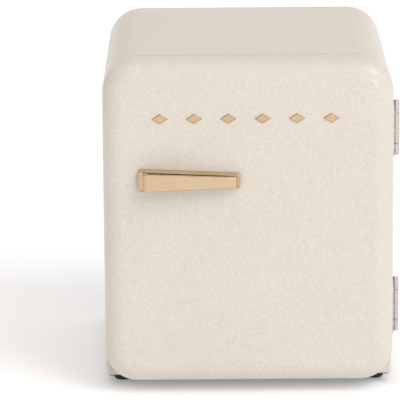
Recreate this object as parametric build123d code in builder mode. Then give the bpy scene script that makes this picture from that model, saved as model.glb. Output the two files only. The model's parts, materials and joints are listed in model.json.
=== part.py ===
"""Retro table-top refrigerator, modelled piece by piece in millimetres.

Drawing frame: X = 0 on the cabinet's centre plane (+X is the hinge side), Y = 0 on the cabinet's front flange with
+Y towards the back, Z = 0 on the floor. to_row_frame moves each piece so that the origin ends under the centre of
the whole refrigerator's box.
"""

import os
from math import sqrt

from build123d import *

os.makedirs("parts", exist_ok=True)

# ---------------------------------------------------------------- driving dimensions
cabinet_width = 450
cabinet_depth = 408
overall_height = 532
foot_height = 14
corner_radius = 56  # cabinet's top corners, seen from the front
sheet = 1.0  # steel sheet of the cabinet, door, panels
flange_width = 18  # front flange of the cabinet shell
pan_lip = 2.5  # height of the base pan's turned-down edge
skirt_z = foot_height + pan_lip  # lower edge of the cabinet shell

# inner liner and its cavity
liner_wall = 1.5
cavity_half = 189
cavity_floor = 56
cavity_ceiling = 494
cavity_back = 366
step_front = 216  # front of the step over the compressor
step_top = 229
cavity_corner = 20
cavity_side_round = 18

# compressor bay
bay_front = 248
bay_roof = 197

# door
door_gap = 8
door_thickness = 54
door_corner = 51
door_edge_round = 29
door_top = overall_height - 1
door_bottom = skirt_z + 2
door_back_y = -door_gap
door_front_y = -door_gap - door_thickness
door_mid_z = (door_top + door_bottom) / 2
door_height = door_top - door_bottom
door_liner_wall = 1.5
ridge_outer_half = 178  # the door liner's raised ridge, which carries the racks
ridge_inner_half = 150
ridge_reach = 22  # how far the ridge stands into the cabinet
ridge_low = 72
ridge_high = 480

# hinges
barrel_radius = 4.8
hinge_pin_radius = 2.2
leaf_thickness = 1.5
hinge_axis_x = cabinet_width / 2 + barrel_radius + 0.9
hinge_axis_y = -door_gap / 2
hinge_length = 85
outer_knuckle = 18
hinge_heights = [414, 130.5]
knuckle_gap = 0.9

# chiller compartment at the top of the cavity
chiller_left = -182
chiller_right = 108
chiller_low = 394
chiller_high = 488
chiller_front = 124
chiller_back = 356
flap_pivot_z = 480
flap_pivot_y = 115

# compressor
compressor_x = 70
compressor_y = 330
can_radius = 62


def facing(y):
    """The upright plane at this depth. Its sketches are in X and Z, and extrude towards the front."""
    return Plane.XZ.offset(-y)


def level(z):
    return Plane.XY.offset(z)


def sideways(x):
    """The upright plane at this X. Its sketches are in Y and Z, and extrude towards +X."""
    return Plane.YZ.offset(x)


written = {}


def finish(name, shape):
    """Keeps a finished piece under its name until all are moved to the row frame and written."""
    written[name] = shape


def together(shapes):
    """Separate solids that share one name."""
    with BuildPart() as group:
        for shape in shapes:
            add(shape)
    return group.part


# ---------------------------------------------------------------- shared forms
def cabinet_block(inset, front, back, edge_round=0.0, low=skirt_z):
    """The cabinet's outline drawn in by inset, between two depths: square at the foot, round at the top."""
    high = overall_height - inset
    with BuildPart() as block:
        with BuildSketch(facing(back)) as outline:
            with Locations((0, (low + high) / 2)):
                Rectangle(cabinet_width - 2 * inset, high - low)
            fillet(outline.vertices().group_by(Axis.Y)[-1], corner_radius - inset)
        extrude(amount=back - front)
        if edge_round:
            front_face = block.faces().sort_by(Axis.Y)[0]
            rim = front_face.edges().filter_by(lambda e: e.center().Z > low + 0.1)
            fillet(rim, edge_round)
    return block.part


def cavity_form(grow, front):
    """The cold space, grown outwards by grow: an L seen from the side, with moulded corners."""
    floor, ceiling = cavity_floor - grow, cavity_ceiling + grow
    back, riser, tread = cavity_back + grow, step_front + grow, step_top - grow
    with BuildPart() as form:
        with BuildSketch(sideways(-cavity_half - grow)) as side:
            with BuildLine():
                Polyline(
                    (front, floor), (riser, floor), (riser, tread),
                    (back, tread), (back, ceiling), (front, ceiling),
                    close=True,
                )
            make_face()
            inner = side.vertices().filter_by(lambda v: v.X > front + 1)
            step_corner = inner.filter_by(lambda v: abs(v.X - riser) < 0.1 and abs(v.Y - tread) < 0.1)
            hollow_corners = inner.filter_by(
                lambda v: not (abs(v.X - riser) < 0.1 and abs(v.Y - tread) < 0.1)
            )
            fillet(hollow_corners, cavity_corner + grow)
            fillet(step_corner, cavity_corner - grow)
        extrude(amount=2 * (cavity_half + grow))
        flanks = form.faces().filter_by(Axis.X)
        rims = flanks.edges().filter_by(lambda e: e.center().Y > front + 0.1)
        fillet(rims, cavity_side_round + grow)
    return form.part


def door_block(inset, back):
    """The pillow-shaped door, drawn in by inset, from this depth to its front."""
    front = door_front_y + inset
    with BuildPart() as block:
        with BuildSketch(facing(back)):
            with Locations((0, door_mid_z)):
                RectangleRounded(cabinet_width - 2 * inset, door_height - 2 * inset, door_corner - inset)
        extrude(amount=back - front)
        fillet(block.faces().sort_by(Axis.Y)[0].edges(), door_edge_round - inset)
    return block.part


def rounded_ring(half_x, low, high, width, radius, back, front):
    """A flat ring seen from the front, width wide, between two depths."""
    with BuildPart() as ring:
        with BuildSketch(facing(back)):
            with Locations((0, (low + high) / 2)):
                RectangleRounded(2 * half_x, high - low, radius)
                RectangleRounded(
                    2 * (half_x - width), high - low - 2 * width, max(radius - width, 2), mode=Mode.SUBTRACT
                )
        extrude(amount=back - front)
    return ring.part


def rod(points, radius, bend):
    """A round rod or pipe bent along these points."""
    with BuildPart() as bent:
        with BuildLine() as route:
            FilletPolyline(*points, radius=bend)
        path = route.line
        with BuildSketch(Plane(origin=path @ 0, z_dir=path % 0)):
            Circle(radius)
        sweep(path=path)
    return bent.part


def screws(places, axis_plane, shank, length, head, head_height):
    """Pan-head screws with cross recesses, each head seated at one of the places and its shank in the work."""
    with BuildPart() as group:
        for place in places:
            seat = Plane(origin=place, z_dir=axis_plane)
            with BuildSketch(seat):
                Circle(head)
            extrude(amount=head_height)
            with BuildSketch(seat):
                Circle(shank)
            extrude(amount=-length)
        heads = group.faces().filter_by(Plane(origin=(0, 0, 0), z_dir=axis_plane))
        tops = [
            face for face in heads
            if any(abs((face.center() - Vector(p)).dot(Vector(axis_plane)) - head_height) < 0.01 for p in places)
        ]
        fillet([edge for face in tops for edge in face.edges()], head_height * 0.45)
        for place in places:
            with BuildSketch(Plane(origin=place, z_dir=axis_plane).offset(head_height)):
                Rectangle(head * 1.1, 0.8)
                Rectangle(0.8, head * 1.1)
            extrude(amount=-head_height * 0.6, mode=Mode.SUBTRACT)
    return group.part


# ---------------------------------------------------------------- cabinet
shell_outer = cabinet_block(0, 0, cabinet_depth, edge_round=4)
shell_inner = cabinet_block(sheet, sheet, cabinet_depth, edge_round=3, low=skirt_z - 1)
flange_window = cabinet_block(flange_width, -1, sheet + 1, low=skirt_z - 1)
with BuildPart() as cabinet_shell:
    add(shell_outer)
    add(shell_inner, mode=Mode.SUBTRACT)
    add(flange_window, mode=Mode.SUBTRACT)
finish("cabinet_shell", cabinet_shell.part)

rail_top = skirt_z + 20
with BuildPart() as lower_front_rail:
    with BuildSketch(sideways(-cabinet_width / 2 + flange_width)):
        with BuildLine():
            Polyline((0, skirt_z), (14, skirt_z), (14, skirt_z + 1), (1, skirt_z + 1), (1, rail_top), (0, rail_top),
                     close=True)
        make_face()
    extrude(amount=cabinet_width - 2 * flange_width)
finish("lower_front_rail", lower_front_rail.part)

with BuildPart() as back_panel:
    with BuildSketch(facing(cabinet_depth)) as panel_outline:
        with Locations((0, (bay_roof + overall_height - sheet) / 2)):
            Rectangle(cabinet_width - 2 * sheet, overall_height - sheet - bay_roof)
        fillet(panel_outline.vertices().group_by(Axis.Y)[-1], corner_radius - sheet)
    extrude(amount=sheet)
finish("back_panel", back_panel.part)

# the pan under the cabinet, with vent slots under the compressor
pan_half = cabinet_width / 2 - 2.5
pan_front, pan_back = 4, cabinet_depth - 4
foot_x, foot_front_y, foot_back_y = 200, 40, 378
front_foot_places = [(-foot_x, foot_front_y), (foot_x, foot_front_y)]
rear_foot_places = [(-foot_x, foot_back_y), (foot_x, foot_back_y)]
with BuildPart() as base_pan:
    with BuildSketch(level(foot_height)):
        with Locations((0, (pan_front + pan_back) / 2)):
            RectangleRounded(2 * pan_half, pan_back - pan_front, 6)
    extrude(amount=pan_lip)
    with BuildSketch(level(foot_height)):
        with Locations((0, (pan_front + pan_back) / 2)):
            RectangleRounded(2 * pan_half - 2 * sheet, pan_back - pan_front - 2 * sheet, 5)
    extrude(amount=pan_lip - sheet, mode=Mode.SUBTRACT)
    with BuildSketch(level(foot_height)):
        with Locations(*front_foot_places, *rear_foot_places):
            Circle(4.6)
        with Locations((-120, 330)):
            with GridLocations(0, 16, 1, 6):
                SlotOverall(110, 5)
    extrude(amount=pan_lip, mode=Mode.SUBTRACT)
finish("base_pan", base_pan.part)

with BuildPart() as bay_step_plate:
    with BuildSketch(sideways(-cabinet_width / 2 + sheet)):
        with BuildLine():
            Polyline(
                (bay_front, skirt_z), (bay_front + sheet, skirt_z), (bay_front + sheet, bay_roof - sheet),
                (cabinet_depth, bay_roof - sheet), (cabinet_depth, bay_roof), (bay_front, bay_roof),
                close=True,
            )
        make_face()
    extrude(amount=cabinet_width - 2 * sheet)
finish("bay_step_plate", bay_step_plate.part)

# stiffening bar across the back of the bay, which carries the cord gland
bar_y = cabinet_depth - 2
gland_x, gland_z = 190, skirt_z + 26
gland_bore = 3.7
with BuildPart() as rear_crossbar:
    with BuildSketch(sideways(-cabinet_width / 2 + sheet)):
        with BuildLine():
            Polyline(
                (bar_y - 12, skirt_z), (bar_y, skirt_z), (bar_y, skirt_z + 42), (bar_y - 1.5, skirt_z + 42),
                (bar_y - 1.5, skirt_z + 1.5), (bar_y - 12, skirt_z + 1.5),
                close=True,
            )
        make_face()
    extrude(amount=cabinet_width - 2 * sheet)
    with BuildSketch(facing(bar_y + 2)):
        with Locations((gland_x, gland_z)):
            Circle(7)
    extrude(amount=8, mode=Mode.SUBTRACT)
    with BuildSketch(level(skirt_z - 1)):
        with Locations(*rear_foot_places):
            Circle(11)
    extrude(amount=4, mode=Mode.SUBTRACT)
finish("rear_crossbar", rear_crossbar.part)

with BuildPart() as cord_gland:
    with BuildSketch(sideways(gland_x)):
        with BuildLine():
            Polyline(
                (bar_y - 5.5, gland_bore), (bar_y + 4, gland_bore), (bar_y + 4, 7), (bar_y + 2, 9.5), (bar_y, 9.5),
                (bar_y, 7), (bar_y - 1.5, 7), (bar_y - 1.5, 9.5), (bar_y - 5.5, 9.5),
                close=True,
            )
        make_face()
    revolve(axis=Axis((gland_x, 0, 0), (0, 1, 0)))
finish("cord_gland", cord_gland.part.moved(Location((0, 0, gland_z))))

# ---------------------------------------------------------------- inner liner, its rails and the foam
cavity = cavity_form(0, sheet - 1)
cavity_outside = cavity_form(liner_wall, sheet)
foam_front = sheet + liner_wall
shelf_z = step_top + 23
rail_reach = 5
shelf_rail_zs = [shelf_z - 4.8, shelf_z + 5.6]
with BuildPart() as inner_liner:
    add(cavity_outside)
    with BuildSketch(facing(foam_front)) as lip:
        with Locations((0, (39 + overall_height - flange_width + 5) / 2)):
            Rectangle(2 * 212, overall_height - flange_width + 5 - 39)
        fillet(lip.vertices().group_by(Axis.Y)[-1], corner_radius - flange_width + 5)
        with Locations((0, 39)):
            Rectangle(2 * 212, 1)
    extrude(amount=liner_wall)
    add(cavity, mode=Mode.SUBTRACT)
    for side in (-1, 1):
        for rail_z in shelf_rail_zs:
            with BuildSketch(facing(340)):
                with Locations((side * (cavity_half - rail_reach / 2 + 0.5), rail_z)):
                    RectangleRounded(rail_reach + 1, 5, 1.5)
            extrude(amount=280)
finish("inner_liner", inner_liner.part)

stud_top = foot_height + 26
foam_outer = cabinet_block(sheet, sheet, cabinet_depth - sheet, edge_round=3, low=skirt_z + 1)
with BuildPart() as cabinet_foam:
    add(foam_outer)
    add(cavity_outside, mode=Mode.SUBTRACT)
    with BuildSketch(sideways(-cabinet_width / 2)):
        with BuildLine():
            Polyline((bay_front, 0), (cabinet_depth + 1, 0), (cabinet_depth + 1, bay_roof), (bay_front, bay_roof),
                     close=True)
        make_face()
        with BuildLine():
            Polyline((0, 0), (14.5, 0), (14.5, skirt_z + 2), (foam_front, skirt_z + 2),
                     (foam_front, overall_height), (0, overall_height), close=True)
        make_face()
    extrude(amount=cabinet_width, mode=Mode.SUBTRACT)
    with BuildSketch(level(skirt_z)):
        with Locations(*front_foot_places):
            RegularPolygon(11, 6)
    extrude(amount=stud_top - skirt_z + 4, mode=Mode.SUBTRACT)
finish("cabinet_foam", cabinet_foam.part)

# ---------------------------------------------------------------- feet
nut_top = skirt_z + 8
with BuildPart() as foot_nuts:
    with BuildSketch(level(skirt_z)):
        with Locations(*front_foot_places):
            RegularPolygon(9, 6)
            Circle(4.1, mode=Mode.SUBTRACT)
    extrude(amount=nut_top - skirt_z)
finish("foot_nuts", foot_nuts.part)


def foot(x, y, stud_height, stud_radius):
    """A moulded foot with its stud, turned about its own upright axis."""
    with BuildPart() as turned:
        with BuildSketch(Plane.XZ) as section:
            with BuildLine():
                Polyline(
                    (0, 0), (12, 0), (14.5, 3), (14.5, 9), (12, 11.5), (9, foot_height), (stud_radius, foot_height),
                    (stud_radius, stud_height), (0, stud_height),
                    close=True,
                )
            make_face()
            fillet(section.vertices().filter_by(lambda v: abs(v.X - 14.5) < 0.1), 1.5)
        revolve(axis=Axis.Z)
    return turned.part.moved(Location((x, y, 0)))


for side, x in (("left", -foot_x), ("right", foot_x)):
    finish(f"front_{side}_foot", foot(x, foot_front_y, stud_top, 4.0))
rear_feet = [foot(x, foot_back_y, skirt_z + 3, 4.6) for x in (-foot_x, foot_x)]
finish("rear_feet", together(rear_feet))

# ---------------------------------------------------------------- door
handle_left, handle_right = -170, -12
# lower and upper edge of the handle's back plate and of its grip, at each end
plate_ends = {"left": (329.5, 364.5), "right": (334.5, 357.5)}
grip_ends = {"left": (333.5, 362.5), "right": (336, 353)}
handle_mid_z = 346.5
handle_base_depth = 11
plate_bevel = 3.5
handle_screw_places = [(-146, handle_mid_z), (-48, handle_mid_z)]
backing_y = door_front_y + sheet

ridge_round = 8
with BuildPart() as ridge_form:
    with BuildSketch(facing(door_back_y)):
        with Locations((0, (ridge_low + ridge_high) / 2)):
            RectangleRounded(2 * ridge_outer_half, ridge_high - ridge_low, 24)
            RectangleRounded(2 * ridge_inner_half, ridge_high - ridge_low - 56, 14, mode=Mode.SUBTRACT)
    extrude(amount=-(ridge_reach - door_back_y))
    fillet(ridge_form.faces().sort_by(Axis.Y)[-1].edges(), ridge_round)
ridge_inset = door_liner_wall
with BuildPart() as ridge_core:
    with BuildSketch(facing(door_back_y - 1)):
        with Locations((0, (ridge_low + ridge_high) / 2)):
            RectangleRounded(2 * (ridge_outer_half - ridge_inset), ridge_high - ridge_low - 2 * ridge_inset, 22.5)
            RectangleRounded(
                2 * (ridge_inner_half + ridge_inset), ridge_high - ridge_low - 56 + 2 * ridge_inset, 15.5,
                mode=Mode.SUBTRACT,
            )
    extrude(amount=-(ridge_reach - ridge_inset - door_back_y + 1))
    fillet(ridge_core.faces().sort_by(Axis.Y)[-1].edges(), ridge_round - ridge_inset)

door_outer = door_block(0, door_back_y)
door_inside = door_block(sheet, door_back_y - sheet)
with BuildPart() as door_skin:
    add(door_outer)
    add(door_inside, mode=Mode.SUBTRACT)
    with BuildSketch(facing(door_back_y + 1)):
        with Locations((0, door_mid_z)):
            RectangleRounded(cabinet_width - 36, door_height - 36, door_corner - 18)
    extrude(amount=4, mode=Mode.SUBTRACT)
    with BuildSketch(facing(door_front_y + 3)):
        with Locations(*handle_screw_places):
            Circle(2.1)
    extrude(amount=6, mode=Mode.SUBTRACT)
finish("door_skin", door_skin.part)

liner_half = cabinet_width / 2 - 7
rack_lug_zs = [144, 302]
with BuildPart() as door_liner:
    with BuildSketch(facing(door_back_y + door_liner_wall)):
        with Locations((0, door_mid_z)):
            RectangleRounded(2 * liner_half, door_height - 14, door_corner - 7)
    extrude(amount=door_liner_wall)
    add(ridge_form.part)
    add(ridge_core.part, mode=Mode.SUBTRACT)
    for side in (-1, 1):
        for lug_z in rack_lug_zs:
            with BuildSketch(sideways(side * ridge_inner_half - (4 if side > 0 else 0))):
                with Locations((8, lug_z)):
                    Circle(4)
            extrude(amount=4)
finish("door_liner", door_liner.part)

with BuildPart() as handle_backing_plate:
    with BuildSketch(facing(backing_y + 2)):
        with Locations((-97, handle_mid_z)):
            RectangleRounded(140, 18, 3)
        with Locations(*handle_screw_places):
            Circle(1.7, mode=Mode.SUBTRACT)
    extrude(amount=2)
finish("handle_backing_plate", handle_backing_plate.part)

foam_window = door_block(sheet, door_back_y - sheet)
with BuildPart() as door_foam:
    add(foam_window)
    with BuildSketch(facing(door_back_y)):
        with Locations((0, door_mid_z)):
            RectangleRounded(cabinet_width - 36, door_height - 36, door_corner - 18)
    extrude(amount=sheet)
    add(ridge_core.part)
    with BuildSketch(facing(backing_y + 2)):
        with Locations((-97, handle_mid_z)):
            RectangleRounded(140, 18, 3)
    extrude(amount=2, mode=Mode.SUBTRACT)
    with BuildSketch(facing(backing_y + 16)):
        with Locations(*handle_screw_places):
            Circle(2.5)
    extrude(amount=16, mode=Mode.SUBTRACT)
finish("door_foam", door_foam.part)

# magnetic seal: a C section open inwards, with the magnet strips under its face
seal_half = cabinet_width / 2 - 7
seal_low, seal_high = door_bottom + 7, door_top - 7
seal_back = door_back_y + door_liner_wall
seal_base = rounded_ring(seal_half, seal_low, seal_high, 14, door_corner - 7, seal_back + 1.4, seal_back)
seal_wall = rounded_ring(seal_half - 1, seal_low + 1, seal_high - 1, 1.4, door_corner - 8, -2.9, seal_back + 1.4)
seal_face = rounded_ring(seal_half - 1, seal_low + 1, seal_high - 1, 12, door_corner - 8, -0.3, -1.3)
seal_side = rounded_ring(seal_half - 1, seal_low + 1, seal_high - 1, 1.4, door_corner - 8, -1.3, -2.9)
with BuildPart() as door_gasket:
    add(seal_base)
    add(seal_wall)
    add(seal_side)
    add(seal_face)
finish("door_gasket", door_gasket.part)

magnet_run_x, magnet_run_z = seal_half - 50, door_height / 2 - 60
with BuildPart() as gasket_magnets:
    with BuildSketch(facing(-1.3)):
        with Locations((0, seal_low + 7.5), (0, seal_high - 7.5)):
            Rectangle(2 * magnet_run_x, 7)
        with Locations((-seal_half + 7.5, door_mid_z), (seal_half - 7.5, door_mid_z)):
            Rectangle(7, 2 * magnet_run_z)
    extrude(amount=1.6)
finish("gasket_magnets", gasket_magnets.part)


# door racks between the liner's ridges, and the wire guards above them
def rack(floor_z, height, reach, lug_z):
    """An open tray that hooks on the liner's lugs."""
    wall = 2.2
    back = door_back_y + door_liner_wall + 0.4
    half = ridge_inner_half - 0.4
    with BuildPart() as tray:
        with BuildSketch(level(floor_z)) as plan:
            with Locations((0, (back + reach) / 2)):
                Rectangle(2 * half, reach - back)
            fillet(plan.vertices().group_by(Axis.Y)[-1], 16)
        extrude(amount=height)
        with BuildSketch(level(floor_z + wall)) as hollow:
            with Locations((0, (back + reach) / 2)):
                Rectangle(2 * (half - wall), reach - back - 2 * wall)
            fillet(hollow.vertices().group_by(Axis.Y)[-1], 14)
        extrude(amount=height, mode=Mode.SUBTRACT)
        with BuildSketch(sideways(-half - 1)):
            with Locations((8, (lug_z + floor_z) / 2)):
                SlotOverall(lug_z - floor_z + 9, 8.6, rotation=90)
        extrude(amount=wall + 1 + 1.5, mode=Mode.SUBTRACT)
        with BuildSketch(sideways(half - wall - 1.5)):
            with Locations((8, (lug_z + floor_z) / 2)):
                SlotOverall(lug_z - floor_z + 9, 8.6, rotation=90)
        extrude(amount=wall + 1 + 1.5, mode=Mode.SUBTRACT)
        with BuildSketch(level(floor_z - 1)):
            with GridLocations(40, 0, 6, 1):
                with Locations((0, (back + reach) / 2)):
                    SlotOverall(34, 5, rotation=90)
        extrude(amount=wall + 2, mode=Mode.SUBTRACT)
    return tray.part


rack_reach = 66
lower_rack_floor, lower_rack_height = 116, 58
upper_rack_floor, upper_rack_height = 280, 44
finish("lower_door_rack", rack(lower_rack_floor, lower_rack_height, rack_reach, rack_lug_zs[0]))
finish("upper_door_rack", rack(upper_rack_floor, upper_rack_height, rack_reach, rack_lug_zs[1]))


def guard(z):
    """The bent wire that stops bottles tipping out of a rack."""
    points = [
        (-ridge_inner_half, 12, z), (-ridge_inner_half + 12, 12, z), (-ridge_inner_half + 12, rack_reach - 4, z),
        (ridge_inner_half - 12, rack_reach - 4, z), (ridge_inner_half - 12, 12, z), (ridge_inner_half, 12, z),
    ]
    return rod(points, 2.2, 9)


guard_zs = [lower_rack_floor + lower_rack_height + 34, upper_rack_floor + upper_rack_height + 20]
finish("rack_guards", together([guard(z) for z in guard_zs]))

# ---------------------------------------------------------------- handle
base_front_y = door_front_y - handle_base_depth
with BuildPart() as handle_base:
    with BuildSketch(facing(door_front_y)) as plate:
        with BuildLine():
            Polyline(
                (handle_left, plate_ends["left"][0]), (handle_right, plate_ends["right"][0]),
                (handle_right, plate_ends["right"][1]), (handle_left, plate_ends["left"][1]),
                close=True,
            )
        make_face()
        fillet(plate.vertices(), 4.5)
    extrude(amount=handle_base_depth)
    with BuildSketch(facing(door_front_y)):
        with Locations(*handle_screw_places):
            Circle(2.1)
    extrude(amount=handle_base_depth, mode=Mode.SUBTRACT)
    for x, z in handle_screw_places:
        with BuildSketch(facing(base_front_y + 2)):
            with Locations((x, z)):
                Circle(2.1)
        with BuildSketch(facing(base_front_y)):
            with Locations((x, z)):
                Circle(4.1)
        loft(mode=Mode.SUBTRACT)
    chamfer(handle_base.faces().sort_by(Axis.Y)[0].outer_wire().edges(), plate_bevel)
finish("handle_base", handle_base.part)

with BuildPart() as handle_screws:
    for x, z in handle_screw_places:
        with BuildSketch(facing(base_front_y + 2)):
            with Locations((x, z)):
                Circle(1.9)
        with BuildSketch(facing(base_front_y + 0.1)):
            with Locations((x, z)):
                Circle(3.8)
        loft()
        with BuildSketch(facing(backing_y + 13)):
            with Locations((x, z)):
                Circle(1.65)
        extrude(amount=backing_y + 11 - base_front_y)
finish("handle_screws", handle_screws.part)

grip_wall = 6.5
grip_left_reach, grip_right_reach = 31, 16  # how far the grip stands off the door at each end
grip_left = handle_left + 7  # the back plate shows past the grip here
left_front = (grip_left + 1.5, door_front_y - grip_left_reach)
right_front = (handle_right - 7, door_front_y - grip_right_reach)
with BuildPart() as handle_grip:
    with BuildSketch(level(handle_mid_z - 20)) as plan:
        with BuildLine():
            Polyline(
                (grip_left, base_front_y), left_front, right_front, (handle_right - 4, base_front_y),
                close=True,
            )
        make_face()
        outer_bends = plan.vertices().filter_by(lambda v: v.Y < base_front_y - 1)
        fillet(outer_bends, 5)
        with BuildLine():
            Polyline(
                (grip_left + grip_wall, base_front_y + 1),
                (left_front[0] + grip_wall, left_front[1] + grip_wall),
                (right_front[0] - grip_wall + 1, min(right_front[1] + grip_wall, base_front_y - 1)),
                (handle_right - 5 - grip_wall, base_front_y + 1),
                close=True,
            )
        make_face(mode=Mode.SUBTRACT)
    extrude(amount=40)
    with BuildSketch(facing(base_front_y + 1)):
        with BuildLine():
            Polyline(
                (handle_left - 2, grip_ends["left"][0]), (handle_right + 2, grip_ends["right"][0]),
                (handle_right + 2, grip_ends["right"][1]), (handle_left - 2, grip_ends["left"][1]),
                close=True,
            )
        make_face()
    extrude(amount=60, mode=Mode.INTERSECT)
    crown = handle_grip.edges().filter_by(lambda e: e.center().Y < base_front_y - 8 and e.length > 60)
    fillet(crown.sort_by(Axis.Y)[:2], 1.6)
finish("handle_grip", handle_grip.part)

# plain lozenge studs across the top of the door
stud_count, stud_row_x, stud_row_z, stud_row_half = 6, -4, 442.5, 132
stud_half_length, stud_half_height, stud_rise = 13, 8, 2.4
with BuildPart() as trim_studs:
    for n in range(stud_count):
        x = stud_row_x - stud_row_half + 2 * stud_row_half * n / (stud_count - 1)
        with BuildSketch(facing(door_front_y)):
            with BuildLine():
                Polyline(
                    (x - stud_half_length, stud_row_z), (x, stud_row_z - stud_half_height),
                    (x + stud_half_length, stud_row_z), (x, stud_row_z + stud_half_height),
                    close=True,
                )
            make_face()
        extrude(amount=stud_rise, taper=35)
finish("trim_studs", trim_studs.part)


# ---------------------------------------------------------------- hinges
cabinet_leaf_reach, door_leaf_reach = 24, 20
leaf_screw_spacing = 27
side_x = cabinet_width / 2


def hinge_leaf(mid_z, knuckles, y_near, y_far, bore_radius):
    """One leaf: a plate on the side of the cabinet or door, its knuckles, and the webs that join them."""
    low, high = mid_z - hinge_length / 2, mid_z + hinge_length / 2
    toward = 1 if y_far > y_near else -1
    with BuildPart() as leaf:
        with BuildSketch(sideways(side_x)):
            with Locations(((y_near + y_far) / 2, mid_z)):
                RectangleRounded(abs(y_far - y_near), hinge_length, 4)
        extrude(amount=leaf_thickness)
        for z_low, z_high in knuckles:
            with BuildSketch(level(z_low)):
                with Locations((hinge_axis_x, hinge_axis_y)):
                    Circle(barrel_radius)
                with BuildLine():
                    Polyline(
                        (side_x + 0.3, hinge_axis_y), (hinge_axis_x, hinge_axis_y),
                        (side_x + leaf_thickness, y_near + toward * 5), (side_x, y_near + toward * 5),
                        (side_x, hinge_axis_y + toward * 4.5),
                        close=True,
                    )
                make_face()
            extrude(amount=z_high - z_low)
        with BuildSketch(level(low - 1)):
            with Locations((hinge_axis_x, hinge_axis_y)):
                Circle(bore_radius)
        extrude(amount=high - low + 2, mode=Mode.SUBTRACT)
        with BuildSketch(sideways(side_x - 1)):
            with Locations((y_near + toward * 11, mid_z)):
                with GridLocations(0, leaf_screw_spacing, 1, 3):
                    Circle(2.2)
        extrude(amount=leaf_thickness + 2, mode=Mode.SUBTRACT)
    return leaf.part


cabinet_leaves, door_leaves, pins = [], [], []
leaf_screw_places = {"cabinet": [], "door": []}
for mid_z in hinge_heights:
    low, high = mid_z - hinge_length / 2, mid_z + hinge_length / 2
    outer = [(low, low + outer_knuckle), (high - outer_knuckle, high)]
    middle = [(low + outer_knuckle + knuckle_gap, high - outer_knuckle - knuckle_gap)]
    cabinet_near, door_near = 3, door_back_y - 1
    cabinet_far, door_far = cabinet_near + cabinet_leaf_reach, door_near - door_leaf_reach
    cabinet_leaves.append(hinge_leaf(mid_z, outer, cabinet_near, cabinet_far, hinge_pin_radius))
    door_leaves.append(hinge_leaf(mid_z, middle, door_near, door_far, hinge_pin_radius + 0.06))
    with BuildPart() as pin:
        with BuildSketch(level(low - 0.2)):
            with Locations((hinge_axis_x, hinge_axis_y)):
                Circle(hinge_pin_radius)
        extrude(amount=hinge_length + 0.2)
        with BuildSketch(level(high)):
            with Locations((hinge_axis_x, hinge_axis_y)):
                Circle(barrel_radius - 0.2)
        extrude(amount=1.6)
        fillet(pin.faces().sort_by(Axis.Z)[-1].edges(), 1.2)
    pins.append(pin.part)
    for step in (-1, 0, 1):
        z = mid_z + step * leaf_screw_spacing
        leaf_screw_places["cabinet"].append((side_x + leaf_thickness, cabinet_near + 11, z))
        leaf_screw_places["door"].append((side_x + leaf_thickness, door_near - 11, z))

finish("hinge_cabinet_leaves", together(cabinet_leaves))
finish("hinge_door_leaves", together(door_leaves))
finish("hinge_pins", together(pins))

hinge_screws = {
    owner: screws(places, (1, 0, 0), 2.0, 12, 3.6, 1.4) for owner, places in leaf_screw_places.items()
}
for owner, group in hinge_screws.items():
    finish(f"hinge_screws_{owner}", group)

# ---------------------------------------------------------------- chiller compartment
evaporator_wall = 1.6
chiller_mid_x = (chiller_left + chiller_right) / 2
chiller_width = chiller_right - chiller_left
chiller_mid_z = (chiller_low + chiller_high) / 2
chiller_height = chiller_high - chiller_low
with BuildPart() as evaporator_box:
    with BuildSketch(facing(chiller_back)):
        with Locations((chiller_mid_x, chiller_mid_z)):
            RectangleRounded(chiller_width, chiller_height, 9)
    extrude(amount=chiller_back - chiller_front)
    with BuildSketch(facing(chiller_back - evaporator_wall)):
        with Locations((chiller_mid_x, chiller_mid_z)):
            RectangleRounded(
                chiller_width - 2 * evaporator_wall, chiller_height - 2 * evaporator_wall, 9 - evaporator_wall
            )
    extrude(amount=chiller_back - chiller_front, mode=Mode.SUBTRACT)
    for n in range(5):
        y = chiller_front + 30 + n * 40
        with BuildSketch(sideways(chiller_left + 16)):
            with Locations((y, chiller_low + evaporator_wall)):
                Circle(3)
                with Locations((0, -2)):
                    Rectangle(12, 4, mode=Mode.SUBTRACT)
        extrude(amount=chiller_width - 32)
finish("evaporator_box", evaporator_box.part)

frame_back = chiller_front
frame_front = chiller_front - 5
with BuildPart() as chiller_frame:
    with BuildSketch(facing(frame_back)):
        with Locations((chiller_mid_x, chiller_mid_z)):
            RectangleRounded(chiller_width, chiller_height, 9)
            RectangleRounded(chiller_width - 20, chiller_height - 20, 5, mode=Mode.SUBTRACT)
    extrude(amount=frame_back - frame_front)
    for x in (chiller_left + 2, chiller_right - 6):
        with BuildSketch(sideways(x)):
            with Locations((flap_pivot_y, flap_pivot_z)):
                Circle(5)
            with Locations(((flap_pivot_y + frame_back) / 2, flap_pivot_z)):
                Rectangle(frame_back - flap_pivot_y, 10)
            with Locations((flap_pivot_y, flap_pivot_z)):
                Circle(2.06, mode=Mode.SUBTRACT)
        extrude(amount=4)
finish("chiller_frame", chiller_frame.part)

flap_low = chiller_low + 3
with BuildPart() as chiller_flap:
    with BuildSketch(facing(flap_pivot_y + 1.2)):
        with Locations((chiller_mid_x, (flap_low + flap_pivot_z + 2) / 2)):
            RectangleRounded(chiller_width - 16, flap_pivot_z + 2 - flap_low, 2)
    extrude(amount=3)
    with BuildSketch(sideways(chiller_left + 2)):
        with Locations((flap_pivot_y, flap_pivot_z)):
            Circle(2.0)
    extrude(amount=chiller_width - 4)
    with BuildSketch(sideways(chiller_left + 8)):
        with Locations((flap_pivot_y, flap_pivot_z)):
            Circle(3.2)
    extrude(amount=chiller_width - 16)
    with BuildSketch(facing(flap_pivot_y - 1.8)):
        with Locations((chiller_mid_x, flap_low + 14)):
            RectangleRounded(90, 10, 4)
    extrude(amount=8)
finish("chiller_flap", chiller_flap.part)

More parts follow.
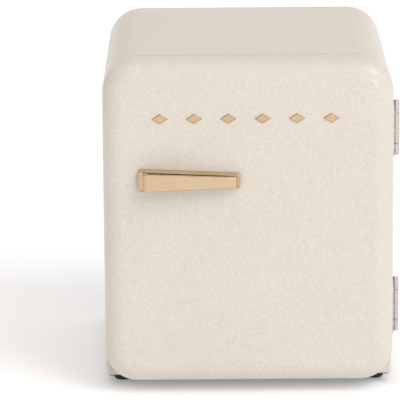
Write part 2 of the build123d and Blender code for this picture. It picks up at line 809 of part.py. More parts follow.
# hangers between the liner's ceiling and the evaporator
with BuildPart() as evaporator_hangers:
    with BuildSketch(level(chiller_high)):
        with Locations((chiller_mid_x, (chiller_front + chiller_back) / 2)):
            with GridLocations(chiller_width - 60, 150, 2, 2):
                RectangleRounded(22, 14, 3)
    extrude(amount=cavity_ceiling - chiller_high)
finish("evaporator_hangers", evaporator_hangers.part)

# drip tray under the evaporator, on two rails
tray_top = chiller_low - 3
tray_low = tray_top - 20
with BuildPart() as drip_tray_rails:
    for side, x in ((1, chiller_left), (-1, chiller_right)):
        with BuildSketch(facing(chiller_back - 6)):
            with BuildLine():
                Polyline(
                    (x, chiller_low), (x, tray_top - 7), (x + side * 7, tray_top - 7), (x + side * 7, tray_top - 5),
                    (x + side * 2, tray_top - 5), (x + side * 2, chiller_low),
                    close=True,
                )
            make_face()
        extrude(amount=chiller_back - 6 - chiller_front)
finish("drip_tray_rails", drip_tray_rails.part)

tray_left, tray_right = chiller_left + 3, chiller_right - 3
tray_front, tray_rear = chiller_front - 2, chiller_back - 10
tray_mid_x, tray_mid_y = (tray_left + tray_right) / 2, (tray_front + tray_rear) / 2
with BuildPart() as drip_tray:
    with BuildSketch(level(tray_low)):
        with Locations((tray_mid_x, tray_mid_y)):
            RectangleRounded(tray_right - tray_left - 12, tray_rear - tray_front, 8)
    extrude(amount=tray_top - 1 - tray_low)
    with BuildSketch(level(tray_top - 4.7)):
        with Locations((tray_mid_x, tray_mid_y)):
            RectangleRounded(tray_right - tray_left, tray_rear - tray_front, 4)
    extrude(amount=3.2)
    with BuildSketch(level(tray_low + 2)):
        with Locations((tray_mid_x, tray_mid_y)):
            RectangleRounded(tray_right - tray_left - 16, tray_rear - tray_front - 8, 6)
    extrude(amount=30, mode=Mode.SUBTRACT)
    with BuildSketch(facing(tray_front + 1)):
        with Locations((tray_mid_x, tray_low + 12)):
            RectangleRounded(110, 12, 4)
    extrude(amount=9)
finish("drip_tray", drip_tray.part)

# ---------------------------------------------------------------- thermostat
stat_left, stat_right = 120, cavity_half
stat_low, stat_high = 418, 480
stat_front, stat_back = 150, 250
stat_mid_x, stat_mid_z = (stat_left + stat_right) / 2, (stat_low + stat_high) / 2
with BuildPart() as thermostat_housing:
    with BuildSketch(facing(stat_back)):
        with Locations((stat_mid_x, stat_mid_z)):
            RectangleRounded(stat_right - stat_left, stat_high - stat_low, 6)
    extrude(amount=stat_back - stat_front)
    fillet(thermostat_housing.faces().sort_by(Axis.Y)[0].edges(), 3)
    with BuildSketch(facing(stat_back + 1)):
        with Locations((stat_mid_x, stat_mid_z)):
            RectangleRounded(stat_right - stat_left - 5, stat_high - stat_low - 5, 4)
    extrude(amount=stat_back - stat_front - 2.5, mode=Mode.SUBTRACT)
    with BuildSketch(facing(stat_front + 5)):
        with Locations((stat_mid_x, stat_mid_z)):
            Circle(5)
    extrude(amount=10, mode=Mode.SUBTRACT)
finish("thermostat_housing", thermostat_housing.part)

with BuildPart() as thermostat_switch:
    with BuildSketch(facing(stat_back - 40)):
        with Locations((stat_mid_x, stat_mid_z)):
            RectangleRounded(40, 34, 3)
    extrude(amount=stat_back - 40 - stat_front - 8)
    with BuildSketch(facing(stat_front + 8)):
        with Locations((stat_mid_x, stat_mid_z)):
            Circle(4.8)
    extrude(amount=7)
    with BuildSketch(facing(stat_front + 12)):
        with Locations((stat_mid_x, stat_mid_z)):
            Circle(3.05)
    extrude(amount=14, mode=Mode.SUBTRACT)
finish("thermostat_switch", thermostat_switch.part)

knob_back = stat_front - 1
with BuildPart() as thermostat_knob:
    with BuildSketch(facing(knob_back)):
        with Locations((stat_mid_x, stat_mid_z)):
            Circle(18)
    extrude(amount=9, taper=4)
    with BuildSketch(facing(knob_back - 9)):
        with Locations((stat_mid_x, stat_mid_z)):
            SlotOverall(32, 8, rotation=90)
    extrude(amount=6, taper=5)
    with BuildSketch(facing(stat_front + 11)):
        with Locations((stat_mid_x, stat_mid_z)):
            Circle(3.0)
    extrude(amount=14)
    with BuildSketch(facing(knob_back - 15)):
        with Locations((stat_mid_x, stat_mid_z + 11)):
            Rectangle(1.2, 6)
    extrude(amount=-1, mode=Mode.SUBTRACT)
finish("thermostat_knob", thermostat_knob.part)

# ---------------------------------------------------------------- shelf
shelf_front, shelf_back = 84, 350
shelf_half = cavity_half - 1.5
trim_height = 10
glass_thickness = 4
with BuildPart() as shelf_glass:
    with BuildSketch(level(shelf_z - glass_thickness / 2)):
        with Locations((0, (shelf_front + shelf_back) / 2)):
            RectangleRounded(2 * shelf_half, shelf_back - shelf_front - 8, 3)
    extrude(amount=glass_thickness)
finish("shelf_glass", shelf_glass.part)


def shelf_trim(y_edge, inward):
    """A moulding pushed over one long edge of the glass."""
    glass_edge = y_edge + inward * 4
    y_far = y_edge + inward * 14
    with BuildPart() as trim:
        with BuildSketch(sideways(-cavity_half + 6)):
            with Locations(((y_edge + y_far) / 2, shelf_z)):
                RectangleRounded(14, trim_height, 2.5)
            with Locations(((glass_edge + y_far + inward) / 2, shelf_z)):
                Rectangle(abs(y_far + inward - glass_edge), glass_thickness, mode=Mode.SUBTRACT)
        extrude(amount=2 * (cavity_half - 6))
    return trim.part


finish("shelf_trims", together([shelf_trim(shelf_front, 1), shelf_trim(shelf_back, -1)]))

# ---------------------------------------------------------------- compressor
rail_plate_z = skirt_z + 11
feet_plate_z = rail_plate_z + 11
grommet_places = [(compressor_x + dx, compressor_y + dy) for dx in (-72, 72) for dy in (-40, 40)]
with BuildPart() as compressor_rail:
    with BuildSketch(sideways(compressor_x - 90)):
        with BuildLine():
            Polyline(
                (267, skirt_z), (281, skirt_z), (281, rail_plate_z - 1.5), (379, rail_plate_z - 1.5), (379, skirt_z),
                (391, skirt_z), (391, skirt_z + 1.5), (380.5, skirt_z + 1.5), (380.5, rail_plate_z),
                (279.5, rail_plate_z), (279.5, skirt_z + 1.5), (267, skirt_z + 1.5),
                close=True,
            )
        make_face()
    extrude(amount=180)
    with BuildSketch(level(rail_plate_z)):
        with Locations(*grommet_places):
            Circle(3.1)
    extrude(amount=-1.5, mode=Mode.SUBTRACT)
finish("compressor_rail", compressor_rail.part)

with BuildPart() as compressor_feet_plate:
    with BuildSketch(level(feet_plate_z)):
        with Locations((compressor_x, compressor_y)):
            RectangleRounded(168, 104, 14)
        with Locations(*grommet_places):
            Circle(6, mode=Mode.SUBTRACT)
    extrude(amount=2.5)
finish("compressor_feet_plate", compressor_feet_plate.part)

with BuildPart() as compressor_grommets:
    with BuildSketch(level(rail_plate_z)):
        with Locations(*grommet_places):
            Circle(10)
    extrude(amount=feet_plate_z - rail_plate_z)
    with BuildSketch(level(feet_plate_z)):
        with Locations(*grommet_places):
            Circle(5.9)
    extrude(amount=2.5)
    with BuildSketch(level(feet_plate_z + 2.5)):
        with Locations(*grommet_places):
            Circle(8.5)
    extrude(amount=3)
    with BuildSketch(level(rail_plate_z)):
        with Locations(*grommet_places):
            Circle(3.2)
    extrude(amount=30, mode=Mode.SUBTRACT)
finish("compressor_grommets", compressor_grommets.part)

bolt_seat_z = feet_plate_z + 5.5
with BuildPart() as compressor_bolts:
    with BuildSketch(level(bolt_seat_z)):
        with Locations(*grommet_places):
            Circle(8)
    extrude(amount=1.2)
    with BuildSketch(level(bolt_seat_z + 1.2)):
        with Locations(*grommet_places):
            RegularPolygon(5.5, 6)
    extrude(amount=4)
    with BuildSketch(level(rail_plate_z - 6)):
        with Locations(*grommet_places):
            Circle(3.0)
    extrude(amount=bolt_seat_z + 1 - rail_plate_z + 6)
finish("compressor_bolts", compressor_bolts.part)

can_wall = 3
lower_can_low = feet_plate_z + 2.5
seam_z = lower_can_low + 66
upper_can_high = lower_can_low + 138
upper_radius = can_radius + can_wall + 0.1


def can_form(radius, low, high, round_low, round_high):
    with BuildPart() as form:
        with BuildSketch(level(low)):
            with Locations((compressor_x, compressor_y)):
                Circle(radius)
        extrude(amount=high - low)
        if round_low:
            fillet(form.faces().sort_by(Axis.Z)[0].edges(), round_low)
        if round_high:
            fillet(form.faces().sort_by(Axis.Z)[-1].edges(), round_high)
    return form.part


lower_outer = can_form(can_radius, lower_can_low, seam_z, 22, 0)
lower_inner = can_form(can_radius - can_wall, lower_can_low + can_wall, seam_z + 1, 19, 0)
with BuildPart() as compressor_lower_can:
    add(lower_outer)
    add(lower_inner, mode=Mode.SUBTRACT)
finish("compressor_lower_can", compressor_lower_can.part)

upper_outer = can_form(upper_radius, seam_z - 8, upper_can_high, 0, 38)
upper_inner = can_form(can_radius + 0.1, seam_z - 9, upper_can_high - can_wall, 0, 35)
with BuildPart() as compressor_upper_can:
    add(upper_outer)
    add(upper_inner, mode=Mode.SUBTRACT)
finish("compressor_upper_can", compressor_upper_can.part)

motor_low = lower_can_low + 14
rotor_radius, shaft_radius = 25, 8
with BuildPart() as compressor_stator:
    with BuildSketch(level(motor_low)):
        with Locations((compressor_x, compressor_y)):
            Circle(can_radius - can_wall - 8)
            Circle(rotor_radius + 0.6, mode=Mode.SUBTRACT)
    extrude(amount=42)
finish("compressor_stator", compressor_stator.part)

crankcase_low = motor_low + 48
with BuildPart() as compressor_crankcase:
    with BuildSketch(level(crankcase_low)):
        with Locations((compressor_x, compressor_y)):
            Circle(40)
    extrude(amount=18)
    with BuildSketch(level(crankcase_low + 18)):
        with Locations((compressor_x, compressor_y + 30)):
            Rectangle(34, 18)
    extrude(amount=22)
    with BuildSketch(level(crankcase_low - 1)):
        with Locations((compressor_x, compressor_y)):
            Circle(shaft_radius + 0.05)
    extrude(amount=20, mode=Mode.SUBTRACT)
finish("compressor_crankcase", compressor_crankcase.part)

with BuildPart() as compressor_rotor:
    with BuildSketch(level(motor_low)):
        with Locations((compressor_x, compressor_y)):
            Circle(rotor_radius)
    extrude(amount=42)
    with BuildSketch(level(motor_low - 6)):
        with Locations((compressor_x, compressor_y)):
            Circle(shaft_radius)
    extrude(amount=crankcase_low + 19 - motor_low + 6)
    with BuildSketch(level(crankcase_low + 19)):
        with Locations((compressor_x, compressor_y)):
            Circle(14)
    extrude(amount=6)
    with BuildSketch(level(crankcase_low + 25)):
        with Locations((compressor_x + 7, compressor_y)):
            Circle(5)
    extrude(amount=12)
finish("compressor_rotor", compressor_rotor.part)

with BuildPart() as relay_cover:
    with BuildSketch(level(seam_z - 34)):
        with Locations((compressor_x - upper_radius - 18, compressor_y)):
            RectangleRounded(36, 46, 5)
    extrude(amount=54)
    fillet(relay_cover.faces().sort_by(Axis.Z)[-1].edges(), 3)
finish("relay_cover", relay_cover.part)

# ---------------------------------------------------------------- refrigerant pipes
tube_y = cabinet_depth + 11  # plane of the condenser, behind the back panel
pipe_z = lower_can_low + 28
discharge_x = compressor_x - 40
discharge_y = compressor_y + sqrt(can_radius**2 - 40**2) + 2
riser_x = -202
run_top, run_pitch, run_count = 506, 26, 11
run_half = 178
finish(
    "discharge_pipe",
    rod(
        [
            (discharge_x, discharge_y, pipe_z), (discharge_x, tube_y, pipe_z), (riser_x, tube_y, pipe_z),
            (riser_x, tube_y, run_top), (-run_half, tube_y, run_top),
        ],
        2.4,
        10,
    ),
)

drier_x, drier_y = -150, 390
drier_low, drier_high = 66, 148
serpentine = []
for n in range(run_count):
    z = run_top - n * run_pitch
    ends = (-run_half, run_half) if n % 2 == 0 else (run_half, -run_half)
    serpentine += [(ends[0], tube_y, z), (ends[1], tube_y, z)]
run_bottom = run_top - (run_count - 1) * run_pitch
serpentine[-1] = (run_half + 18, tube_y, run_bottom)
serpentine += [
    (run_half + 18, tube_y, bay_roof - 16), (drier_x, tube_y, bay_roof - 16), (drier_x, drier_y, bay_roof - 16),
    (drier_x, drier_y, drier_high),
]
finish("condenser_tube", rod(serpentine, 2.4, 12.2))

wire_radius, wire_count, wire_pitch = 0.8, 27, 13
wire_off = 2.4 + wire_radius + 0.05
wire_low, wire_high = run_bottom - 8, run_top + 8
with BuildPart() as condenser_wires:
    with BuildSketch(level(wire_low)):
        with Locations((0, tube_y)):
            with GridLocations(wire_pitch, 2 * wire_off, wire_count, 2):
                Circle(wire_radius)
    extrude(amount=wire_high - wire_low)
finish("condenser_wires", condenser_wires.part)

bracket_xs, bracket_zs = (-149.5, 149.5), (run_bottom + 13, run_top - 13)
bracket_places = [(x, z) for x in bracket_xs for z in bracket_zs]
with BuildPart() as condenser_brackets:
    with BuildSketch(facing(tube_y - wire_off - wire_radius - 0.1)):
        with Locations(*bracket_places):
            RectangleRounded(26, 16, 3)
            Circle(2.1, mode=Mode.SUBTRACT)
    extrude(amount=tube_y - wire_off - wire_radius - 0.1 - cabinet_depth)
finish("condenser_brackets", condenser_brackets.part)

bracket_face_y = tube_y - wire_off - wire_radius - 0.1
panel_screw_places = [(x, cabinet_depth, z) for x in (-214, 214) for z in (212, 318, 424)]
panel_screw_places += [(x, cabinet_depth, 522) for x in (-110, 0, 110)]
bracket_screws = screws([(x, bracket_face_y, z) for x, z in bracket_places], (0, 1, 0), 1.9, 6, 3.6, 1.6)
panel_screws = screws(panel_screw_places, (0, 1, 0), 1.9, 8, 3.6, 1.6)
finish("rear_screws", together([bracket_screws, panel_screws]))

with BuildPart() as filter_drier:
    with BuildSketch(Plane.XZ):
        with BuildLine():
            Polyline(
                (0, drier_low), (2.6, drier_low), (3.2, drier_low + 8), (8.5, drier_low + 18),
                (8.5, drier_high - 18), (3.2, drier_high - 8), (2.6, drier_high), (0, drier_high),
                close=True,
            )
        make_face()
    revolve(axis=Axis.Z)
finish("filter_drier", filter_drier.part.moved(Location((drier_x, drier_y, 0))))

finish(
    "capillary_tube",
    rod(
        [
            (drier_x, drier_y, drier_low), (drier_x, drier_y, 44), (-100, drier_y, 44), (-100, drier_y, 130),
            (-126, drier_y, 130), (-126, 356, 130), (-70, 356, 130), (-70, 356, bay_roof - sheet),
        ],
        1.1,
        9,
    ),
)

suction_z = seam_z + 10
suction_x = compressor_x + sqrt(upper_radius**2 - 15**2) + 0.8
finish(
    "suction_pipe",
    rod(
        [
            (suction_x, compressor_y + 15, suction_z), (168, compressor_y + 15, suction_z),
            (168, 386, suction_z), (168, 386, bay_roof - sheet),
        ],
        3.5,
        12,
    ),
)

# ---------------------------------------------------------------- screw holes in the sheets and the foam
def bored(name, places, outward, radius, depth):
    """Drills the named piece from 1 mm outside each place, against the outward direction."""
    with BuildPart() as cut:
        add(written[name])
        for place in places:
            with BuildSketch(Plane(origin=Vector(place) + Vector(outward), z_dir=outward)):
                Circle(radius)
            extrude(amount=-depth - 1, mode=Mode.SUBTRACT)
    finish(name, cut.part)


on_side = (1, 0, 0)
bored("cabinet_shell", leaf_screw_places["cabinet"], on_side, 2.0, 4)
bored("cabinet_foam", leaf_screw_places["cabinet"], on_side, 2.3, 16)
bored("door_skin", leaf_screw_places["door"], on_side, 2.0, 4)
bored("door_foam", leaf_screw_places["door"], on_side, 2.3, 16)
bored("back_panel", panel_screw_places, (0, 1, 0), 1.9, 2)
bored("cabinet_foam", panel_screw_places, (0, 1, 0), 2.2, 12)

# ---------------------------------------------------------------- row frame and export
low_corner = Vector(*(min(getattr(s.bounding_box().min, a) for s in written.values()) for a in "XYZ"))
high_corner = Vector(*(max(getattr(s.bounding_box().max, a) for s in written.values()) for a in "XYZ"))
to_row_frame = Location((-(low_corner.X + high_corner.X) / 2, -(low_corner.Y + high_corner.Y) / 2, 0))
for name, shape in written.items():
    placed = shape.moved(to_row_frame)
    placed.label = name
    export_step(placed, f"parts/{name}.step")
print(len(written), "pieces; box", low_corner, high_corner, "moved by", to_row_frame.position)
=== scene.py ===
"""Retro table-top refrigerator: finishes, fittings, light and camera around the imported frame."""

import json
import math

import bpy
from mathutils import Matrix, Vector


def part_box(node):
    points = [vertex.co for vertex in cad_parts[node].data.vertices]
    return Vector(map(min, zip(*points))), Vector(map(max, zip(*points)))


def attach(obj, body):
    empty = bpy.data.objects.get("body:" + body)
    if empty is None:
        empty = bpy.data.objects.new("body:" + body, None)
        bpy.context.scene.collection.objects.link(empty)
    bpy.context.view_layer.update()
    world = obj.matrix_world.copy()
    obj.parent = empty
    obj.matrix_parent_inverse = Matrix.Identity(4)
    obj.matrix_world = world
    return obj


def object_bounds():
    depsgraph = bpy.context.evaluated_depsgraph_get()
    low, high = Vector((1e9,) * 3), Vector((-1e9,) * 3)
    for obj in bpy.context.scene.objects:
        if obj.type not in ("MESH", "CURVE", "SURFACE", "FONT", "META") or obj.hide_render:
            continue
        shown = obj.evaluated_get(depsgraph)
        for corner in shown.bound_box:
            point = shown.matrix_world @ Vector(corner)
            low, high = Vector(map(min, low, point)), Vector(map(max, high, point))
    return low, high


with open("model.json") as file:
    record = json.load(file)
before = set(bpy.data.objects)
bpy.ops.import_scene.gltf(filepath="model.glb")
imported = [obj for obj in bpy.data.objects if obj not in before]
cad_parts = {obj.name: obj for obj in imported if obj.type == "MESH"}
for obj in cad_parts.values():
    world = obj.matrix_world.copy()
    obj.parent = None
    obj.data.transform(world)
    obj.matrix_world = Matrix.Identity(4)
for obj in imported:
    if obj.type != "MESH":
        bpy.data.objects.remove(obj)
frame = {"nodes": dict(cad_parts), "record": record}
nodes = frame["nodes"]
cad_low, cad_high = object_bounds()
scene = bpy.context.scene

# ---------------------------------------------------------------- camera
camera_data = bpy.data.cameras.new("camera")
camera = bpy.data.objects.new("camera", camera_data)
scene.collection.objects.link(camera)
scene.camera = camera
camera_data.sensor_width = 36
camera_data.lens = 305.6
camera_data.clip_end = 60
door_low, door_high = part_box("door_skin")
pitch, yaw, roll = math.radians(13.344), math.radians(-0.141), math.radians(-0.471)
forward = Vector((
    math.sin(yaw) * math.cos(pitch), math.cos(yaw) * math.cos(pitch), -math.sin(pitch)
))
level_right = Vector((math.cos(yaw), -math.sin(yaw), 0))
level_up = level_right.cross(forward)
right = level_right * math.cos(roll) + level_up * math.sin(roll)
up = level_up * math.cos(roll) - level_right * math.sin(roll)
camera.matrix_world = Matrix.Translation(
    ((door_low.x + door_high.x) / 2 - 0.0624, door_low.y - 5.104, cad_high[2] + 0.993)
) @ Matrix((right, up, -forward)).transposed().to_4x4()


# ---------------------------------------------------------------- finishes
class Wire:
    """A socket of a finish. Sums of wires and numbers add the nodes they stand for."""

    def __init__(self, finish, socket):
        self.finish, self.socket = finish, socket

    def sum(self, operation, first, second):
        kind = "VectorMath" if self.socket.type == "VECTOR" else "Math"
        return self.finish.node(kind, {"operation": operation}, i0=first, i1=second)

    def __add__(self, other):
        return self.sum("ADD", self, other)

    def __sub__(self, other):
        return self.sum("SUBTRACT", self, other)

    def __rsub__(self, other):
        return self.sum("SUBTRACT", other, self)

    def __mul__(self, other):
        return self.sum("MULTIPLY", self, other)

    def __pow__(self, other):
        return self.sum("POWER", self, other)

    __radd__, __rmul__ = __add__, __mul__


class Finish:
    """A procedural material. Its pattern is laid out in metres and moves with its piece."""

    def __init__(self, name, colour, **fixed):
        self.material = bpy.data.materials.new(name)
        self.material.use_nodes = True
        self.tree = self.material.node_tree
        self.shader = self.tree.nodes["Principled BSDF"]
        self.colour = (*colour, 1)
        self.set(Base_Color=self.colour, **fixed)
        self.place = self.node("TexCoord", out="Object")

    def feed(self, socket, value):
        if isinstance(value, Wire):
            self.tree.links.new(value.socket, socket)
        else:
            socket.default_value = value

    def set(self, **sockets):
        for name, value in sockets.items():
            self.feed(self.shader.inputs[name.replace("_", " ")], value)
        return self

    def node(self, kind, settings=None, out=0, **sockets):
        made = self.tree.nodes.new("ShaderNode" + kind)
        for name, value in (settings or {}).items():
            if name == "stops":
                for n, (at, colour) in enumerate(value):
                    stops = made.color_ramp.elements
                    stop = stops[n] if n < 2 else stops.new(at)
                    stop.position, stop.color = at, colour
            else:
                setattr(made, name, value)
        for name, value in sockets.items():
            key = int(name[1:]) if name[1:].isdigit() else name.replace("_", " ")
            self.feed(made.inputs[key], value)
        return Wire(self, made.outputs[out])

    def noise(self, scale, stretch=(1, 1, 1), detail=2.0, rough=0.5):
        return self.node(
            "TexNoise", Vector=self.place * stretch, Scale=scale, Detail=detail, Roughness=rough
        )

    def cells(self, scale, feature="F1", out="Distance", stretch=(1, 1, 1)):
        return self.node(
            "TexVoronoi", {"feature": feature}, out, Vector=self.place * stretch, Scale=scale
        )

    def ramp(self, value, low, high):
        """value stretched so that low gives 0 and high gives 1."""
        return self.node("MapRange", Value=value, From_Min=low, From_Max=high)

    def blend(self, factor, first, second):
        return self.node("Mix", {"data_type": "RGBA"}, 2, i0=factor, i6=first, i7=second)

    def shade(self, factor, amount):
        """The base colour, darkened and lightened by amount where factor runs from 0 to 1."""
        dark = tuple(c * (1 - amount) for c in self.colour[:3]) + (1,)
        light = tuple(min(1, c * (1 + amount)) for c in self.colour[:3]) + (1,)
        return self.set(Base_Color=self.blend(factor, dark, light))

    def bump(self, height, depth, strength=1.0):
        """Raises the surface by up to depth metres where height is 1."""
        return self.set(Normal=self.node("Bump", Height=height, Distance=depth, Strength=strength))


def enamel(name, colour, rough=0.40):
    """Sprayed and baked enamel with a fine orange peel."""
    coat = Finish(name, colour, Coat_Roughness=0.16, Coat_IOR=1.5, IOR=1.4)
    peel = coat.noise(420, detail=1.5)
    mottle = coat.noise(9, detail=3)
    fleck = coat.noise(280, detail=4, rough=0.6)
    coat.shade(coat.ramp(mottle * 0.15 + fleck * 0.85, 0.32, 0.68), 0.075)
    coat.set(
        Roughness=mottle * 0.10 + (rough - 0.05),
        Coat_Weight=coat.ramp(mottle, 0.2, 0.8) * 0.1 + 0.24,
    )
    return coat.bump(peel, 0.00008, 0.5)


def brushed(name, colour, rough, stretch, depth=0.00006, metal=1.0):
    """Metal brushed along the axis whose stretch is smallest."""
    metal_finish = Finish(name, colour, Metallic=metal, IOR=2.0)
    hair = metal_finish.noise(1, stretch, detail=3, rough=0.65)
    cloud = metal_finish.noise(26, detail=2)
    metal_finish.shade(metal_finish.ramp(hair * 0.7 + cloud * 0.3, 0.25, 0.75), 0.10)
    metal_finish.set(
        Roughness=metal_finish.ramp(hair, 0.25, 0.75) * 0.14 + cloud * 0.06 + (rough - 0.1)
    )
    return metal_finish.bump(hair, depth, 0.6)


def moulded(name, colour, rough, grain=700, depth=0.00005, tint=0.02, **fixed):
    """Moulded plastic or rubber with a fine grain and faint flow marks."""
    plastic = Finish(name, colour, IOR=1.48, **fixed)
    skin = plastic.noise(grain, detail=2)
    flow = plastic.noise(14, (1, 1, 3), detail=4)
    plastic.shade(plastic.ramp(flow * 0.7 + skin * 0.3, 0.3, 0.7), tint)
    plastic.set(Roughness=flow * 0.12 + skin * 0.05 + (rough - 0.08))
    return plastic.bump(skin, depth, 0.5)


def see_through(name, colour, rough, weight, ior):
    """Clear plastic or glass, with faint ripples and finger marks."""
    clear = Finish(name, colour, Transmission_Weight=weight, IOR=ior)
    ripple = clear.noise(30, detail=2)
    smear = clear.noise(12, (1, 2.5, 1), detail=5)
    clear.shade(smear, 0.02)
    clear.set(Roughness=clear.ramp(smear, 0.45, 0.8) * 0.10 + rough)
    return clear.bump(ripple, 0.0002, 0.15)


def spangled(name, colour):
    """Galvanised sheet: patches of crystal, each with its own grey and shine."""
    zinc = Finish(name, colour, Metallic=1.0, IOR=2.0)
    patch = zinc.node("SeparateColor", Color=zinc.cells(90, out="Color"))
    frost = zinc.noise(240, detail=4)
    zinc.shade(zinc.ramp(patch * 0.7 + frost * 0.3, 0.1, 0.9), 0.14)
    zinc.set(Roughness=patch * 0.16 + frost * 0.08 + 0.3)
    return zinc.bump(patch * 0.4 + frost * 0.6, 0.00006, 0.5)


def tarnished(name, colour, dark, rough):
    """Drawn pipe with uneven brown tarnish and draw lines."""
    pipe = Finish(name, colour, Metallic=1.0, IOR=2.0)
    stain = pipe.ramp(pipe.noise(38, detail=6, rough=0.65), 0.42, 0.70)
    pipe.set(Base_Color=pipe.blend(stain, pipe.colour, (*dark, 1)), Roughness=stain * 0.22 + rough)
    return pipe.bump(pipe.noise(520, detail=3), 0.00006, 0.5)


def foamed(name, colour):
    """Cut and cast polyurethane foam: closed cells and a few larger blisters."""
    foam = Finish(name, colour, Subsurface_Weight=0.1, IOR=1.4)
    cell = foam.cells(760)
    blister = foam.ramp(foam.cells(70), 0.1, 0.5)
    foam.shade(foam.ramp(cell * 0.5 + foam.noise(18, detail=4) * 0.6, 0.2, 0.8), 0.09)
    foam.set(Roughness=foam.noise(60) * 0.1 + 0.8)
    return foam.bump(cell * 0.6 + blister * 0.4, 0.0004, 0.7)


def laminated(name, colour):
    """A stack of motor sheets, with a thin line between sheets."""
    stack = Finish(name, colour, Metallic=0.9, IOR=2.0)
    sheets = stack.node(
        "TexWave", {"bands_direction": "Z"}, Vector=stack.place, Scale=310, Distortion=0.4
    )
    rust = stack.ramp(stack.noise(44, detail=6, rough=0.7), 0.55, 0.75)
    stack.set(
        Base_Color=stack.blend(rust, stack.colour, (0.20, 0.10, 0.05, 1)),
        Roughness=rust * 0.3 + 0.4,
    )
    return stack.bump(sheets, 0.0002, 0.6)


cream = (0.612, 0.565, 0.503)
gold_colour = (0.58, 0.43, 0.275)
finishes = {
    "cream_enamel": enamel("cream_enamel", cream),
    "galvanised": spangled("galvanised", (0.60, 0.61, 0.62)),
    "black_steel": enamel("black_steel", (0.02, 0.02, 0.021), 0.42),
    "zinc": brushed("zinc", (0.56, 0.53, 0.49), 0.34, (900, 900, 60)),
    "gold": brushed("gold", gold_colour, 0.20, (25, 900, 900), 0.00003),
    "white_plastic": moulded("white_plastic", (0.80, 0.80, 0.78), 0.30, 500),
    "clear_plastic": see_through("clear_plastic", (0.90, 0.95, 0.97), 0.04, 0.92, 1.49),
    "black_plastic": moulded("black_plastic", (0.022, 0.022, 0.023), 0.48, 1300, 0.00012, 0.1),
    "foam": foamed("foam", (0.72, 0.60, 0.34)),
    "seal_rubber": moulded("seal_rubber", (0.62, 0.60, 0.56), 0.55, 900, 0.00010, 0.05),
    "black_rubber": moulded("black_rubber", (0.014, 0.014, 0.015), 0.62, 1100, 0.00018, 0.15),
    "magnet": moulded("magnet", (0.05, 0.045, 0.045), 0.6, 1500, 0.0001, 0.1),
    "glass": see_through("glass", (0.86, 0.96, 0.92), 0.015, 0.97, 1.52),
    "aluminium": brushed("aluminium", (0.72, 0.73, 0.74), 0.33, (1100, 45, 1100)),
    "copper": tarnished("copper", (0.72, 0.34, 0.19), (0.22, 0.10, 0.06), 0.26),
    "compressor_black": enamel("compressor_black", (0.013, 0.013, 0.014), 0.26),
    "motor_steel": laminated("motor_steel", (0.22, 0.22, 0.23)),
    "pressed_steel": brushed("pressed_steel", (0.55, 0.55, 0.56), 0.36, (700, 700, 90)),
}
slot_of = {entry["node"]: entry["material_slot"] for entry in frame["record"]["subparts"]}
for name, piece in nodes.items():
    piece.data.materials.clear()
    piece.data.materials.append(finishes[slot_of[name]].material)


# ---------------------------------------------------------------- small fittings
def fitting(name, mesh, body, slot):
    """A piece of this scene's own, in place, on a body of the frame."""
    made = bpy.data.objects.new(name, mesh)
    scene.collection.objects.link(made)
    made.data.materials.append(finishes[slot].material)
    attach(made, body)
    return made


def tube(name, points, radius, body, slot, closed=False):
    """A round bead or wire along the points."""
    curve = bpy.data.curves.new(name, "CURVE")
    curve.dimensions, curve.bevel_depth, curve.bevel_resolution = "3D", radius, 3
    line = curve.splines.new("POLY")
    line.points.add(len(points) - 1)
    for spot, at in zip(line.points, points):
        spot.co = (*at, 1)
    line.use_cyclic_u = closed
    mesh = bpy.data.meshes.new_from_object(bpy.data.objects.new(name, curve))
    mesh.name = name
    mesh.shade_smooth()
    return fitting(name, mesh, body, slot)


def level_circle(x, y, z, radius, steps):
    """Points on a level circle about x, y, z."""
    turns = [math.tau * n / steps for n in range(steps)]
    return [(x + radius * math.cos(turn), y + radius * math.sin(turn), z) for turn in turns]


def middle(node):
    low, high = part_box(node)
    return (low + high) / 2


def numeral(name, text, size, at, body, slot):
    """A printed figure that faces the front of the refrigerator."""
    letter = bpy.data.curves.new(name, "FONT")
    letter.body, letter.size, letter.extrude = text, size, 0.00008
    letter.align_x, letter.align_y = "CENTER", "CENTER"
    mesh = bpy.data.meshes.new_from_object(bpy.data.objects.new(name, letter))
    mesh.name = name
    mesh.transform(Matrix.Translation(at) @ Matrix.Rotation(math.pi / 2, 4, "X"))
    return fitting(name, mesh, body, slot)


# dial figures and marks round the thermostat knob, which turns clockwise from its upright zero
figure_count, dial_sweep = 6, math.radians(270)
figure_reach, mark_reaches = 0.0232, (0.0188, 0.0202)
knob = middle("thermostat_knob")
dial_centre = Vector((knob.x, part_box("thermostat_housing")[0].y - 0.0001, knob.z))
for figure in range(figure_count):
    turn = dial_sweep * figure / (figure_count - 1)
    aim = Vector((math.sin(turn), 0, math.cos(turn)))
    place = dial_centre + aim * figure_reach
    numeral(f"dial_figure_{figure}", str(figure), 0.0062, place, "cabinet", "black_plastic")
    ends = [dial_centre + aim * reach for reach in mark_reaches]
    tube(f"dial_mark_{figure}", ends, 0.00022, "cabinet", "black_plastic")

# weld bead round the seam of the compressor cans
can_low, can_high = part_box("compressor_lower_can")
can_mid = middle("compressor_lower_can")
bead_radius = 0.0012
bead_reach = (can_high.x - can_low.x) / 2 + 0.0002
bead = level_circle(can_mid.x, can_mid.y, can_high.z - 0.001, bead_reach, 96)
tube("seam_weld", bead, bead_radius, "cabinet", "compressor_black", closed=True)

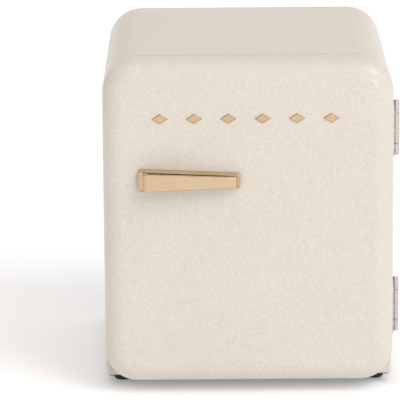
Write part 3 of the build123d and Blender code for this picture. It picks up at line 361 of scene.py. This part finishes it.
# refrigerant channels pressed into the floor and the ceiling of the chiller box
chiller_low, chiller_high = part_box("evaporator_box")
side_margin, front_margin, back_margin = 0.022, 0.02, 0.025
sheet, channel_radius, channel_runs = 0.0016, 0.0017, 8
first_x = chiller_low.x + side_margin
run_step = (chiller_high.x - chiller_low.x - 2 * side_margin) / (channel_runs - 1)
for label, height in (("floor", chiller_low.z + sheet), ("ceiling", chiller_high.z - sheet)):
    channel = []
    for run in range(channel_runs):
        x = first_x + run * run_step
        ends = [
            (x, chiller_low.y + front_margin, height), (x, chiller_high.y - back_margin, height)
        ]
        channel += ends if run % 2 == 0 else ends[::-1]
    tube(f"chiller_{label}_channel", channel, channel_radius, "cabinet", "aluminium")


# ---------------------------------------------------------------- floor and light
floor_mesh = bpy.data.meshes.new("floor")
floor_mesh.from_pydata([(-40, -20, 0), (40, -20, 0), (40, 60, 0), (-40, 60, 0)], [], [(0, 1, 2, 3)])
floor = bpy.data.objects.new("floor", floor_mesh)
scene.collection.objects.link(floor)
pale_floor = Finish(
    "pale_floor", (0.79, 0.80, 0.825), IOR=1.3, Emission_Color=(1, 1, 1, 1), Emission_Strength=0.235
)
pale_floor.set(Roughness=pale_floor.noise(3) * 0.1 + 0.75)
floor_mesh.materials.append(pale_floor.material)

world = bpy.data.worlds.new("studio")
world.use_nodes = True
sky = world.node_tree.nodes
around, across, tone = (sky.new("ShaderNode" + kind) for kind in ("TexCoord", "SeparateXYZ", "Mix"))
tone.data_type = "RGBA"
tone.inputs[6].default_value, tone.inputs[7].default_value = (0.95, 0.905, 0.85, 1), (1, 1, 1, 1)
for start, end in (
    (around.outputs["Generated"], across.inputs[0]), (across.outputs[0], tone.inputs[0]),
    (tone.outputs[2], sky["Background"].inputs["Color"]),
):
    world.node_tree.links.new(start, end)
sky["Background"].inputs["Strength"].default_value = 0.89
scene.world = world
scene.view_settings.view_transform = "Standard"


def lamp(name, kind, watts, place, aim):
    """A light at place that shines towards aim."""
    data = bpy.data.lights.new(name, kind)
    data.energy = watts
    holder = bpy.data.objects.new(name, data)
    scene.collection.objects.link(holder)
    holder.location = place
    holder.rotation_euler = (Vector(aim) - Vector(place)).to_track_quat("-Z", "Y").to_euler()
    return holder


window = lamp("window", "SUN", 0.95, (0, 0, 0), (-0.85, 0.82, -1.2))
window.data.angle, window.data.color = math.radians(30), (1, 0.995, 0.985)
softbox = lamp("softbox", "AREA", 6.5, (1.3, -2.3, 1.75), (0.1, -0.2, 0.3))
softbox.data.shape, softbox.data.size = "DISK", 0.6
softbox.visible_glossy = False
catchlight = lamp("catchlight", "AREA", 5.0, (0.8, -2.4, 0.62), (0.1, -0.2, 0.4))
catchlight.data.shape, catchlight.data.size = "DISK", 0.42
